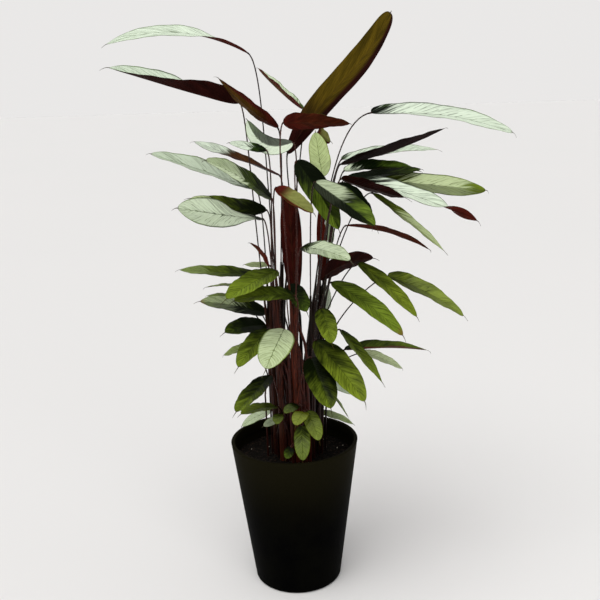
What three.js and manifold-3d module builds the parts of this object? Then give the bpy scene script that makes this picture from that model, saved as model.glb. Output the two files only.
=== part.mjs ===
// A potted calathea setosa: a clump of eight leafy shoots with grey-green, wine-backed blades on thin dark
// stalks, in a tapered black plastic pot filled with soil.
// Millimetres, +Z up, the pot's underside at z = 0 and its axis on the Z axis. The plant's front faces -Y.
import * as THREE from 'three';
import { mergeVertices } from 'three/addons/utils/BufferGeometryUtils.js';
import Module from 'manifold-3d';

// Driving dimensions of the pot: the rim is 240 mm across, the foot 165 mm, the height 281 mm.
const POT = {
  height: 281, rimRadius: 120, footRadius: 82.5, footCorner: 6, wall: 3, floor: 4,
  lipWidth: 7, lipDepth: 20, lipRound: 1.5, sides: 40,
};
const DRAIN = { count: 8, ring: 52, radius: 6, sides: 12 };

// The soil fills the pot to 35 mm under the rim, a little heaped towards the stems.
const SOIL = { top: 246, heap: 5, sides: 28, rings: 5, roughness: 1.6 };

// A shoot's cane stands in a hole in the soil and tapers upwards.
const CANE = { foot: 185, footRadius: 7, topRadius: 4.5, sides: 9 };
const GAP = 0.35; // left between pieces that only touch
const SHORTEST_EDGE = 0.03; // shorter edges, where stalks run into each other, are merged

// A leaf stalk, and a blade. A stalk grows into a young blade by its overlap. The drip tip is a share of the
// width, and where the blade's half width is under foldFrom, its fold is flatter.
const STALK = {
  radius: 1.5, sides: 5, turn: 0.26, overlap: 2.3, lead: 18, spread: 0.12, stepLength: 75, leastSteps: 4,
};
const BLADE = {
  thickness: 0.9, baseWidth: 2.2, tipWidth: 1.6, dripTip: 0.17, foldFrom: 6,
  widest: 0.38, tipBluntness: 2.4, tipTaper: 0.62,
};
const STATIONS = { blade: 8, youngBlade: 6 };

// Shoots: where each cane's foot stands, as [x, y], and where its top ends, as [x, y, z].
const SHOOTS = {
  left: { foot: [-32, 2], top: [-36, 2, 470] },
  front_left: { foot: [-20, -26], top: [-22, -34, 480] },
  front: { foot: [6, -34], top: [6, -43, 472] },
  front_right: { foot: [28, -18], top: [36, -26, 450] },
  right: { foot: [38, 8], top: [52, 6, 480] },
  back_right: { foot: [22, 32], top: [36, 42, 470] },
  back: { foot: [-14, 30], top: [-18, 36, 500] },
  middle: { foot: [3, 2], top: [4, 0, 545] },
};

// Blades that are pieces of their own. Each row gives the name, the shoot, the blade's base and tip, its
// width, how far it arches upwards, the angle in degrees by which each half is folded up from the midrib, and
// the direction that its upper face looks in, at its base and, where that differs, at its tip.
const BLADES = [
  ['top_left_1', 'back', [-60, 80, 990], [-320, 110, 1015], 34, 30, 15, [0, 0.4, 1], [0, -0.9, 1]],
  ['top_left_2', 'left', [-75, 10, 905], [-275, -95, 965], 62, 4, 42, [0, 0.45, 1], [0, -0.8, 1]],
  ['top_left_3', 'back', [-10, -5, 860], [-105, -45, 945], 38, -4, 12, [0.5, 0.6, 0.6], [0.5, 0.5, 0.7]],
  ['top_left_4', 'front', [15, -20, 835], [-60, -45, 875], 32, -23, 0, [0, -1, 0.5], [0.3, -1, 0.2]],
  ['top_middle_1', 'back', [35, 50, 890], [-45, 130, 965], 40, 0, 30, [0.7, -0.2, 0.7]],
  ['top_middle_2', 'middle', [5, 0, 815], [200, 115, 1055], 50, -2, 10, [-0.3, 0.9, 0.2]],
  ['top_middle_3', 'front', [0, -60, 870], [110, -75, 865], 36, 2, 10, [0, 0.8, 0.5], [0, 0.6, 0.8]],
  ['top_middle_4', 'front_right', [65, -25, 775], [55, -5, 850], 38, 0, 12, [0.2, -0.9, 0.3]],
  ['left_1', 'left', [-55, 45, 750], [-240, 35, 820], 54, 5, 22, [0.1, -0.45, 1]],
  ['left_2', 'front_left', [-25, -20, 740], [-125, -120, 815], 54, 7, 12, [0.2, -0.6, 0.8]],
  ['left_3', 'back', [-10, 20, 775], [-170, 120, 835], 42, 3, 10, [0.2, 0.15, 1], [0, -0.4, 1]],
  ['left_4', 'front_left', [-40, -60, 710], [-170, -160, 745], 54, -1, 8, [0, -0.2, 1], [0, -1, 0.5]],
  ['left_5', 'left', [-35, -20, 720], [-165, -30, 745], 44, -4, 15, [0, -0.6, 0.8]],
  ['top_right_1', 'back_right', [155, 25, 880], [425, 100, 835], 53, 16, 20, [0, -0.4, 1], [0.2, -0.9, 1]],
  ['top_right_2', 'right', [100, 50, 790], [305, 135, 845], 54, -5, 15, [-0.3, 0.4, 0.9]],
  ['top_right_3', 'back_right', [105, 100, 795], [305, 225, 800], 44, 7, 20, [0, -0.35, 1]],
  ['right_1', 'right', [105, 25, 780], [250, 80, 770], 44, 10, 15, [0, -0.4, 1]],
  ['right_2', 'right', [105, -10, 770], [240, 5, 780], 36, 0, 10, [0, 0.5, 0.8]],
  ['right_3', 'right', [120, 35, 770], [375, 90, 730], 53, 0, 12, [0, -0.3, 1], [0.1, -0.9, 0.6]],
  ['right_4', 'right', [110, -35, 775], [320, -90, 700], 48, 7, 12, [0.1, -0.45, 1], [0.3, 0.6, 0.6]],
  ['right_5', 'front_right', [95, -70, 775], [195, -110, 745], 46, 0, 10, [0, 0.5, 0.8]],
  ['right_6', 'right', [155, 10, 740], [275, -35, 640], 34, 3, 15, [0.5, -0.35, 0.7]],
  ['right_7', 'right', [105, 0, 685], [270, 85, 620], 27, 11, 20, [-0.2, 0.3, 0.9], [-0.2, 0.2, 0.9]],
  ['heart_1', 'front_right', [50, -110, 775], [140, -180, 710], 50, 3, 15, [0.3, -0.7, 0.7]],
  ['heart_2', 'front_right', [90, -90, 770], [140, -120, 705], 44, 3, 15, [0.3, -0.5, 0.8]],
  ['heart_3', 'front', [20, -45, 805], [90, -40, 685], 46, 5, 12, [-0.2, -0.8, 0.5], [0.2, -0.8, 0.5]],
  ['heart_4', 'front_left', [-15, -80, 765], [45, -115, 725], 34, 0, 25, [0.2, -0.6, 0.7]],
  ['heart_5', 'middle', [10, -15, 560], [5, -20, 750], 38, 0, 12, [0, 1, 0]],
  ['heart_7', 'front', [25, -95, 665], [100, -175, 655], 40, 6, 12, [0, -0.5, 0.8]],
  ['right_9', 'front_right', [125, -20, 620], [220, -85, 535], 35, 6, 12, [0.5, -0.7, 0.6]],
  ['right_10', 'right', [180, 0, 590], [335, 80, 490], 51, 9, 15, [0.3, -0.5, 0.8]],
  ['right_11', 'front_right', [75, -60, 595], [190, -130, 515], 42, 9, 12, [0.4, -0.7, 0.7]],
  ['low_right_1', 'front_right', [90, -30, 500], [160, -80, 415], 34, 3, 15, [0.6, -0.4, 0.7]],
  ['low_right_2', 'right', [100, 10, 450], [270, 100, 415], 42, 9, 30, [0, -0.1, 1]],
  ['low_right_3', 'front_right', [45, -75, 495], [120, -185, 420], 52, 5, 12, [0.3, -0.8, 0.6]],
  ['low_right_4', 'front_right', [55, -85, 555], [70, -130, 505], 36, 3, 10, [0.2, -0.8, 0.5]],
  ['low_right_5', 'front', [35, -80, 465], [65, -160, 400], 52, 3, 12, [0.2, -0.8, 0.5]],
  ['low_right_6', 'back_right', [135, 35, 435], [220, 115, 375], 28, 4, 12, [0.3, -0.5, 0.8]],
  ['low_left_1', 'front_left', [-20, -65, 620], [-100, -160, 595], 48, 4, 12, [-0.3, -0.7, 0.6]],
  ['low_left_2', 'left', [-60, 20, 595], [-210, 95, 595], 40, 2, 12, [0, -0.35, 1]],
  ['low_left_3', 'front', [10, -90, 580], [-90, -135, 585], 44, 7, 12, [0, -0.4, 0.9]],
  ['low_left_4', 'left', [-45, 30, 520], [-165, 15, 550], 44, 5, 12, [0, -0.5, 0.9]],
  ['low_left_5', 'left', [-45, 0, 505], [-115, -60, 510], 42, 5, 12, [0, -0.6, 0.8]],
  ['low_left_6', 'front_left', [-40, -45, 510], [-90, -120, 465], 42, 4, 12, [-0.3, -0.7, 0.6]],
  ['low_left_7', 'front_left', [-10, -85, 520], [-40, -180, 480], 57, 3, 8, [-0.1, -0.9, 0.5]],
  ['low_left_8', 'front_left', [-40, -50, 425], [-95, -150, 395], 43, 1, 12, [-0.4, -0.7, 0.6]],
  ['low_left_9', 'front_left', [-30, -50, 365], [-90, -110, 375], 34, 4, 12, [0, -0.2, 1]],
];

// Small young blades that grow as one body with their shoot, given in the same way.
const YOUNG_BLADES = [
  ['heart_6', 'right', [65, 20, 575], [60, 15, 715], 20, 0, 10, [0, 1, 0]],
  ['right_8', 'right', [55, -10, 590], [155, 20, 620], 44, 11, 12, [-0.2, 0.9, 0.6]],
  ['top_left_5', 'front_left', [-30, -45, 825], [-90, -70, 840], 18, 0, 10, [0, -0.8, 0.6]],
  ['top_middle_5', 'right', [60, 20, 850], [80, -15, 835], 25, 0, 10, [0.5, 0.8, 0.3]],
  ['heart_8', 'back_right', [80, 45, 645], [75, 40, 700], 16, 0, 8, [0, -1, 0]],
  ['heart_9', 'front', [0, -50, 590], [30, -65, 545], 34, 3, 10, [0.2, -0.8, 0.5]],
  ['heart_10', 'back_right', [70, 40, 520], [70, 45, 565], 16, 0, 8, [0, -1, 0.1]],
  ['low_right_7', 'front_right', [65, -30, 410], [115, -50, 385], 30, 3, 8, [0.2, -0.9, 0.5]],
  ['low_right_8', 'right', [60, 0, 385], [105, 20, 310], 24, 2, 12, [0.8, 0, 0.5]],
  ['low_right_9', 'back_right', [45, 30, 320], [115, 50, 285], 20, 4, 12, [0.1, -0.4, 0.9]],
  ['low_front_1', 'front', [20, -70, 360], [5, -120, 355], 28, 4, 8, [0, -0.4, 0.9]],
  ['low_front_2', 'front', [25, -65, 360], [45, -95, 315], 30, 3, 10, [0.2, -0.9, 0.3]],
  ['low_front_3', 'front', [15, -70, 335], [15, -90, 275], 30, 3, 12, [0, -1, 0.2]],
  ['low_front_4', 'front', [-5, -75, 295], [-15, -90, 280], 18, 0, 8, [0, -0.9, 0.4]],
  ['low_front_5', 'front', [10, -60, 370], [-15, -85, 365], 22, 2, 8, [0, -0.4, 0.9]],
  ['low_left_10', 'front_left', [-25, -50, 350], [-30, -75, 340], 20, 2, 8, [0, -0.6, 0.8]],
  ['low_left_11', 'left', [-40, 10, 335], [-100, 20, 300], 22, 3, 8, [0, -0.6, 0.8]],
  ['low_left_12', 'left', [-30, -20, 330], [-55, -45, 325], 16, 0, 8, [0, -0.8, 0.6]],
  ['low_left_13', 'left', [-75, 20, 460], [-130, 50, 435], 30, 2, 10, [0, -0.4, 0.9]],
  ['low_left_14', 'back', [-95, 50, 545], [-160, 80, 545], 26, 3, 10, [0, -0.1, 1]],
  ['low_left_15', 'back', [-95, 70, 565], [-165, 110, 555], 26, 3, 10, [0, 0, 1]],
  ['low_left_16', 'left', [-35, 10, 615], [-80, 25, 615], 16, 0, 8, [0, -0.5, 0.9]],
  ['low_left_17', 'front_left', [-35, -25, 620], [-65, -40, 665], 24, 4, 12, [0.5, -0.3, 0.8], [0, -0.3, 1]],
];

// Blades that are broadest elsewhere than most, as a share of their length from the base.
const WIDEST = {
  top_left_1: 0.5, top_left_2: 0.2, top_middle_2: 0.5, top_middle_3: 0.25, left_4: 0.5, top_right_1: 0.16,
  heart_5: 0.6,
};

// Blades with a more slender or a rounder tip than most: 1 runs straight to a point, and 0.5 is fully round.
const TAPERS = {
  top_left_1: 0.75, top_left_2: 0.8, top_left_3: 1, top_middle_2: 0.36, top_right_1: 0.5,
  top_right_2: 1, right_6: 0.8, right_7: 1, low_right_1: 1, low_right_2: 1,
};

// Blades whose midrib sways up and down over its length, and how far.
const SWAYS = { top_middle_2: 6 };

// Blades that twist over only a part of their length, as the shares where the twist starts and ends.
const TWISTS = { top_left_1: [0, 0.6], right_4: [0.6, 0.95], left_4: [0.1, 0.7] };

// Stalks that bend over to their blade in a longer curve than the rest, and how long that curve is.
const CROOKS = { top_left_1: 35, top_right_1: 75, right_6: 30 };

const wasm = await Module();
wasm.setup();

const vec = ([x, y, z]) => new THREE.Vector3(x, y, z);
const mix = (a, b, t) => a + (b - a) * t;
const radians = THREE.MathUtils.degToRad;
const UP = new THREE.Vector3(0, 0, 1);

// Repeatable numbers between 0 and 1.
function seededRandom(seed) {
  let state = seed;
  return () => {
    state = (state * 1664525 + 1013904223) % 4294967296;
    return state / 4294967296;
  };
}

// A closed three.js geometry as a solid that can be joined and cut.
function toSolid(geometry) {
  const plain = geometry.index ? geometry.clone() : geometry;
  for (const extra of ['normal', 'uv']) {
    plain.deleteAttribute(extra);
  }
  const merged = mergeVertices(plain, 1e-4);
  const mesh = new wasm.Mesh({
    numProp: 3,
    vertProperties: new Float32Array(merged.attributes.position.array),
    triVerts: new Uint32Array(merged.index.array),
  });
  return new wasm.Manifold(mesh);
}

// A solid back as a three.js geometry.
function toGeometry(solid) {
  const { vertProperties, triVerts } = solid.getMesh();
  const geometry = new THREE.BufferGeometry();
  geometry.setAttribute('position', new THREE.BufferAttribute(new Float32Array(vertProperties), 3));
  geometry.setIndex(new THREE.BufferAttribute(new Uint32Array(triVerts), 1));
  geometry.computeVertexNormals();
  return geometry;
}

// Turns a shape made round three.js's Y axis so that it stands on the XY plane.
function standUp(geometry) {
  return geometry.rotateX(Math.PI / 2);
}

// The pot's wall, lip and floor turned round the axis, with drain holes round a solid middle.
function potGeometry() {
  const { height, rimRadius, footRadius, footCorner, wall, floor, lipWidth, lipDepth, lipRound, sides } = POT;
  const outerRadius = (z) => mix(footRadius, rimRadius, z / height);
  const innerRadius = (z) => outerRadius(z) - wall;
  const profile = [new THREE.Vector2(0, 0)];
  for (const angle of [0, 30, 60, 90]) {
    const a = radians(angle);
    const x = outerRadius(footCorner) - footCorner * (1 - Math.sin(a));
    profile.push(new THREE.Vector2(x, footCorner * (1 - Math.cos(a))));
  }
  profile.push(new THREE.Vector2(outerRadius(height - lipRound), height - lipRound));
  profile.push(new THREE.Vector2(rimRadius - lipRound, height));
  profile.push(new THREE.Vector2(rimRadius - lipWidth + lipRound, height));
  profile.push(new THREE.Vector2(rimRadius - lipWidth, height - lipRound));
  profile.push(new THREE.Vector2(rimRadius - lipWidth - 1, height - lipDepth));
  profile.push(new THREE.Vector2(innerRadius(height - lipDepth - wall), height - lipDepth - wall));
  profile.push(new THREE.Vector2(innerRadius(floor), floor));
  profile.push(new THREE.Vector2(0, floor));
  let pot = toSolid(standUp(new THREE.LatheGeometry(profile, sides)));
  for (let i = 0; i < DRAIN.count; i += 1) {
    const angle = (2 * Math.PI * (i + 0.5)) / DRAIN.count;
    const hole = standUp(new THREE.CylinderGeometry(DRAIN.radius, DRAIN.radius, 3 * floor, DRAIN.sides));
    hole.translate(DRAIN.ring * Math.cos(angle), DRAIN.ring * Math.sin(angle), floor / 2);
    pot = pot.subtract(toSolid(hole));
  }
  return toGeometry(pot);
}

// A tapered round bar from one point to another, with its radius at each end.
function taperedBar(from, to, fromRadius, toRadius, sides) {
  const along = to.clone().sub(from);
  const bar = new THREE.CylinderGeometry(toRadius, fromRadius, along.length(), sides);
  const turn = new THREE.Quaternion().setFromUnitVectors(new THREE.Vector3(0, 1, 0), along.normalize());
  bar.applyQuaternion(turn);
  const middle = from.clone().lerp(to, 0.5);
  return bar.translate(middle.x, middle.y, middle.z);
}

// The point of a shoot's cane at a height.
function caneAt(shoot, z) {
  const foot = new THREE.Vector3(shoot.foot[0], shoot.foot[1], CANE.foot);
  const top = vec(shoot.top);
  return foot.lerp(top, (z - CANE.foot) / (top.z - CANE.foot));
}

// The soil: it follows the inside of the pot, and its rough surface has a plain hole for each cane.
function soilGeometry() {
  const { height, rimRadius, footRadius, wall, floor } = POT;
  const innerRadius = (z) => mix(footRadius, rimRadius, z / height) - wall - GAP;
  const random = seededRandom(7);
  const profile = [new THREE.Vector2(0, floor + GAP)];
  profile.push(new THREE.Vector2(innerRadius(floor + GAP), floor + GAP));
  profile.push(new THREE.Vector2(innerRadius(SOIL.top), SOIL.top));
  for (let i = SOIL.rings - 1; i >= 0; i -= 1) {
    const share = i / SOIL.rings;
    profile.push(new THREE.Vector2(share * innerRadius(SOIL.top), SOIL.top + SOIL.heap * (1 - share)));
  }
  const body = mergeVertices(bare(standUp(new THREE.LatheGeometry(profile, SOIL.sides))), 1e-4);
  const place = body.attributes.position;
  for (let i = 0; i < place.count; i += 1) {
    const radius = Math.hypot(place.getX(i), place.getY(i));
    const lift = SOIL.roughness * (random() - 0.5);
    if (place.getZ(i) > SOIL.top - 1 && radius < innerRadius(SOIL.top) - 5) {
      place.setZ(i, place.getZ(i) + lift);
    }
  }
  let soil = toSolid(body);
  for (const shoot of Object.values(SHOOTS)) {
    const low = caneAt(shoot, CANE.foot - GAP);
    const high = caneAt(shoot, SOIL.top + 3 * SOIL.heap);
    const share = (high.z - CANE.foot) / (shoot.top[2] - CANE.foot);
    const highRadius = mix(CANE.footRadius, CANE.topRadius, share);
    soil = soil.subtract(toSolid(taperedBar(low, high, CANE.footRadius + GAP, highRadius + GAP, CANE.sides)));
  }
  return toGeometry(soil);
}

// A geometry without its normals and texture places.
function bare(geometry) {
  geometry.deleteAttribute('normal');
  geometry.deleteAttribute('uv');
  return geometry;
}

// The midrib of a blade: the straight line from base to tip, raised in the upright plane by a parabola and by
// one full wave of its sway.
function midrib(base, tip, arch, sway = 0) {
  const chord = tip.clone().sub(base);
  const along = chord.clone().normalize();
  const rise = UP.clone().addScaledVector(along, -UP.dot(along)).normalize();
  const turn = 2 * Math.PI;
  const height = (t) => 4 * arch * t * (1 - t) + sway * Math.sin(turn * t);
  const slope = (t) => 4 * arch * (1 - 2 * t) + turn * sway * Math.cos(turn * t);
  return {
    point: (t) => base.clone().addScaledVector(chord, t).addScaledVector(rise, height(t)),
    tangent: (t) => chord.clone().addScaledVector(rise, slope(t)).normalize(),
  };
}

// The share of its full width that a blade has at t: a round base, long nearly even sides and a short tip.
function bladeShare(t, name) {
  const widest = WIDEST[name] ?? BLADE.widest;
  const base = Math.sqrt(1 - (1 - Math.min(t / widest, 1)) ** 2);
  const beyond = Math.max((t - widest) / (1 - widest), 0);
  return base * (1 - beyond ** BLADE.tipBluntness) ** (TAPERS[name] ?? BLADE.tipTaper);
}

// A thin folded blade with its drip tip, as a closed loft of flat rings split alike on both faces.
function bladeGeometry([name, , base, tip, width, arch, fold, face, tipFace = face], stations) {
  const rib = midrib(vec(base), vec(tip), arch, SWAYS[name]);
  const [twistStart, twistEnd] = TWISTS[name] ?? [0, 1];
  const positions = [];
  const addRing = (centre, t, half) => {
    const tangent = rib.tangent(t);
    const turn = THREE.MathUtils.smoothstep(t, twistStart, twistEnd);
    const normal = vec(face).lerp(vec(tipFace), turn);
    normal.addScaledVector(tangent, -normal.dot(tangent)).normalize();
    const side = tangent.clone().cross(normal);
    const angle = radians(fold) * Math.min(1, half / BLADE.foldFrom);
    const place = (v, level) => {
      const rise = half * (Math.abs(v) - 0.5) * Math.sin(angle) + level;
      const point = centre.clone().addScaledVector(side, half * v * Math.cos(angle));
      point.addScaledVector(normal, rise);
      positions.push(point.x, point.y, point.z);
    };
    [-1, 0, 1].forEach((v) => place(v, BLADE.thickness / 2));
    [1, 0, -1].forEach((v) => place(v, -BLADE.thickness / 2));
  };
  for (let i = 0; i <= stations; i += 1) {
    const t = (1 - Math.cos((Math.PI * i) / stations)) / 2;
    const narrow = i === 0 ? BLADE.baseWidth : BLADE.tipWidth;
    const half = Math.max(width * bladeShare(t, name), narrow) / 2;
    addRing(rib.point(t), t, half);
  }
  addRing(rib.point(1).addScaledVector(rib.tangent(1), BLADE.dripTip * width), 1, BLADE.tipWidth / 2);
  return loft(positions, 3, stations + 1);
}

// A closed skin over rings of points: each has its upper points in order, then its lower points backwards.
function loft(positions, row, steps) {
  const count = 2 * row;
  const index = [];
  for (let i = 0; i < steps; i += 1) {
    for (let j = 0; j < count; j += 1) {
      const k = (j + 1) % count;
      const [a, b, c, d] = [i * count + j, i * count + k, (i + 1) * count + k, (i + 1) * count + j];
      index.push(...(j < row ? [a, b, c, a, c, d] : [a, b, d, b, c, d]));
    }
  }
  const last = steps * count;
  for (let j = 0; j < row - 1; j += 1) {
    const [a, b, c, d] = [j, j + 1, count - 2 - j, count - 1 - j];
    index.push(a, c, b, a, d, c);
    index.push(last + a, last + b, last + c, last + a, last + c, last + d);
  }
  const geometry = new THREE.BufferGeometry();
  geometry.setAttribute('position', new THREE.Float32BufferAttribute(positions, 3));
  geometry.setIndex(index);
  return geometry;
}

// A leaf stalk from its shoot's cane to the blade's base, where it takes the blade's direction.
function stalkGeometry([name, shootName, base, tip, , arch], reach) {
  const shoot = SHOOTS[shootName];
  const rib = midrib(vec(base), vec(tip), arch, SWAYS[name]);
  const end = rib.point(0).addScaledVector(rib.tangent(0), reach);
  const rootHeight = Math.min(mix(SOIL.top, end.z, 0.45), shoot.top[2] - 12);
  const root = caneAt(shoot, rootHeight);
  const distance = end.distanceTo(root);
  const outward = end.clone().sub(root).setZ(0).normalize();
  const start = UP.clone().addScaledVector(outward, STALK.spread).normalize();
  const lead = Math.min(CROOKS[name] ?? STALK.lead, 0.4 * distance);
  const path = new THREE.CubicBezierCurve3(
    root,
    root.clone().addScaledVector(start, 0.5 * distance),
    end.clone().addScaledVector(rib.tangent(0), -lead),
    end,
  );
  const section = new THREE.Shape();
  for (let i = 0; i < STALK.sides; i += 1) {
    const angle = STALK.turn + (2 * Math.PI * i) / STALK.sides;
    section[i ? 'lineTo' : 'moveTo'](STALK.radius * Math.cos(angle), STALK.radius * Math.sin(angle));
  }
  section.closePath();
  const steps = Math.max(STALK.leastSteps, Math.round(distance / STALK.stepLength));
  return new THREE.ExtrudeGeometry(section, { steps, bevelEnabled: false, extrudePath: path });
}

// A leafy shoot: its cane, the stalks of all its leaves and its young blades, joined into one body.
function shootGeometry(name) {
  const shoot = SHOOTS[name];
  const foot = caneAt(shoot, CANE.foot);
  let solid = toSolid(taperedBar(foot, vec(shoot.top), CANE.footRadius, CANE.topRadius, CANE.sides));
  for (const row of BLADES.filter((blade) => blade[1] === name)) {
    solid = solid.add(toSolid(stalkGeometry(row, -GAP)));
  }
  for (const row of YOUNG_BLADES.filter((blade) => blade[1] === name)) {
    solid = solid.add(toSolid(stalkGeometry(row, STALK.overlap)));
    solid = solid.add(toSolid(bladeGeometry(row, STATIONS.youngBlade)));
  }
  return toGeometry(solid.simplify(SHORTEST_EDGE));
}

const MATERIALS = {
  plastic: { color: 0x15140f, roughness: 0.55, metalness: 0 },
  soil: { color: 0x14100c, roughness: 0.95, metalness: 0 },
  stalk: { color: 0x2b0f10, roughness: 0.6, metalness: 0 },
  blade: { color: 0x5f7f4d, roughness: 0.5, metalness: 0 },
};

function named(name, geometry, finish) {
  const mesh = new THREE.Mesh(geometry, new THREE.MeshStandardMaterial(MATERIALS[finish]));
  mesh.name = name;
  return mesh;
}

const plant = new THREE.Group();
plant.add(named('pot', potGeometry(), 'plastic'));
plant.add(named('soil', soilGeometry(), 'soil'));
for (const name of Object.keys(SHOOTS)) {
  plant.add(named(`shoot_${name}`, shootGeometry(name), 'stalk'));
}
for (const row of BLADES) {
  plant.add(named(`leaf_${row[0]}`, bladeGeometry(row, STATIONS.blade), 'blade'));
}

export default plant;
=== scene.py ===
# %% [markdown]
# # A potted calathea setosa
# This lesson dresses a plain model of a tall prayer plant in its black pot. The plain model gives every size
# and place: the pot and its soil, eight leafy shoots, and forty-seven blades. Here each of them is made
# again with finer surfaces, and gets its veins, silver bloom, sheaths and bristles. Everything is in metres,
# with the middle of the pot's underside at the origin.

# %% Load the plain model
import math
import bpy
import numpy as np
from mathutils import Matrix


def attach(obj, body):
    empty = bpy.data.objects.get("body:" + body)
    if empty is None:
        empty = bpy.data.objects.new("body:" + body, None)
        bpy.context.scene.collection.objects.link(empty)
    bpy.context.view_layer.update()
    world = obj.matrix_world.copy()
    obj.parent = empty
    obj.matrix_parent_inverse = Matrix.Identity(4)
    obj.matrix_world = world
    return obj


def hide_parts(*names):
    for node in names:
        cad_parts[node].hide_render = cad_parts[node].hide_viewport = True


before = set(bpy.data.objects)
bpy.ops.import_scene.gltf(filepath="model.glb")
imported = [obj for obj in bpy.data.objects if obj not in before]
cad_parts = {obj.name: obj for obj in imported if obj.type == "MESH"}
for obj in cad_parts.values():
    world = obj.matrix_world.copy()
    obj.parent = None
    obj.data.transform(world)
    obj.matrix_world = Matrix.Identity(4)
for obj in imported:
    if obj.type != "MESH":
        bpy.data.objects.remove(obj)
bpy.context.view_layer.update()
MM = 0.001

# %% [markdown]
# ## Camera
# The camera comes first, because every later choice is judged through it. The photo was taken from about
# standing height, a metre and a half away, looking a little down, with the phone held slightly crooked. A
# lens of about 50 mm on a 36 mm sensor gives the same perspective. The turn is built from two plain
# rotations: a pitch about the X axis, then a small roll about the camera's own line of sight.

# %% Camera
EYE = (0.019, -1.466, 0.905)
PITCH_DOWN = math.radians(13.6)
ROLL = math.radians(1.8)

camera = bpy.data.objects.new("camera", bpy.data.cameras.new("camera"))
camera.data.lens = 49.5
camera.data.sensor_width = 36
camera.data.clip_start = 0.05
turn = Matrix.Rotation(math.pi / 2 - PITCH_DOWN, 4, "X") @ Matrix.Rotation(-ROLL, 4, "Z")
camera.matrix_world = Matrix.Translation(EYE) @ turn
bpy.context.scene.collection.objects.link(camera)
bpy.context.scene.camera = camera
print("camera at", EYE, "lens", camera.data.lens)

# %% [markdown]
# ## Meshes from whole arrays
# Every surface of the plant is a set of rings: a stalk is a row of circles, and a blade is a row of very
# flat loops that go over its upper face and back under its lower one. So one function that joins rings into
# a closed skin serves for all of them. A Bezier curve with a bevel would give tubes too, but a blade needs
# control over both faces, and arrays can carry the place on the leaf along with each point, for its pattern.

# %% Rings to a closed skin
def skin(rings):
    """Points and faces of a closed skin: rings is (rings, points round, values). Neighbouring rings are
    joined by quads, and each end ring by triangles to its mean point. Rings run clockwise for one who looks
    along them."""
    count, around, size = rings.shape
    i, j = np.meshgrid(np.arange(count - 1), np.arange(around), indexing="ij")
    k = (j + 1) % around
    quads = np.stack([i * around + j, i * around + k, (i + 1) * around + k, (i + 1) * around + j], -1)
    j = np.arange(around)
    k = (j + 1) % around
    first, last = count * around, count * around + 1
    start = np.stack([k, j, 0 * j + first], -1)
    end = np.stack([j + last - 1 - around, k + last - 1 - around, 0 * j + last], -1)
    points = np.concatenate([rings.reshape(-1, size), rings[:1].mean(1), rings[-1:].mean(1)])
    return points, [quads.reshape(-1, 4), np.concatenate([start, end])]


def unit(vectors):
    """Each vector divided by its length."""
    return vectors / np.linalg.norm(vectors, axis=-1, keepdims=True)


def smoothstep(x, low, high):
    """0 under low, 1 over high, and 3u^2 - 2u^3 between them."""
    u = np.clip((x - low) / (high - low), 0, 1)
    return u * u * (3 - 2 * u)


# %% A batch of skins that becomes one piece
class Batch:
    """Collects skins, and the values that their points carry, and makes one mesh object of them."""

    def __init__(self):
        self.points, self.faces, self.finishes, self.values, self.total = [], [], [], {}, 0

    def add(self, points, faces, finish=0, **values):
        self.faces += [part + self.total for part in faces]
        self.finishes += [np.full(len(part), finish) for part in faces]
        self.points.append(points)
        self.total += len(points)
        for name, value in values.items():
            self.values.setdefault(name, []).append(np.broadcast_to(value, (len(points), 3)))

    def piece(self, name, slot, finishes, nodes, sharp=50):
        """The mesh is filled with foreach_set. Edges sharper than the angle stay sharp, and the rest is
        smooth."""
        mesh = bpy.data.meshes.new(name)
        corners = np.concatenate([part.ravel() for part in self.faces]).astype(np.int32)
        sizes = np.concatenate([np.full(len(part), part.shape[1]) for part in self.faces])
        starts = np.concatenate([[0], np.cumsum(sizes)[:-1]]).astype(np.int32)
        mesh.vertices.add(self.total)
        mesh.vertices.foreach_set("co", np.concatenate(self.points).astype(np.float32).ravel())
        mesh.loops.add(len(corners))
        mesh.loops.foreach_set("vertex_index", corners)
        mesh.polygons.add(len(sizes))
        mesh.polygons.foreach_set("loop_start", starts)
        mesh.polygons.foreach_set("material_index", np.concatenate(self.finishes).astype(np.int32))
        for finish in finishes:
            mesh.materials.append(finish)
        mesh.update(calc_edges=True)
        mesh.polygons.foreach_set("use_smooth", np.ones(len(sizes), bool))
        mesh.set_sharp_from_angle(angle=math.radians(sharp))
        for key, values in self.values.items():
            layer = mesh.attributes.new(key, "FLOAT_VECTOR", "POINT")
            layer.data.foreach_set("vector", np.concatenate(values).astype(np.float32).ravel())
        made = bpy.data.objects.new(name, mesh)
        bpy.context.scene.collection.objects.link(made)
        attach(made, "root")
        if nodes:
            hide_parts(*nodes)
        return made


# %% [markdown]
# ## Shader sums in plain Python
# A leaf's pattern is arithmetic on its own coordinates, which as single nodes would be hard to read. So a
# small class wraps a socket and lets Python's operators add the Math nodes. Colours go through Mix nodes
# instead, because a Math node would turn them grey.

# %% Sockets that can be added and multiplied
def operator(operation):
    """A method that adds a Math node for the value and for what stands after it."""
    return lambda self, *other: self.sum(operation, self, *other)


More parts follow.
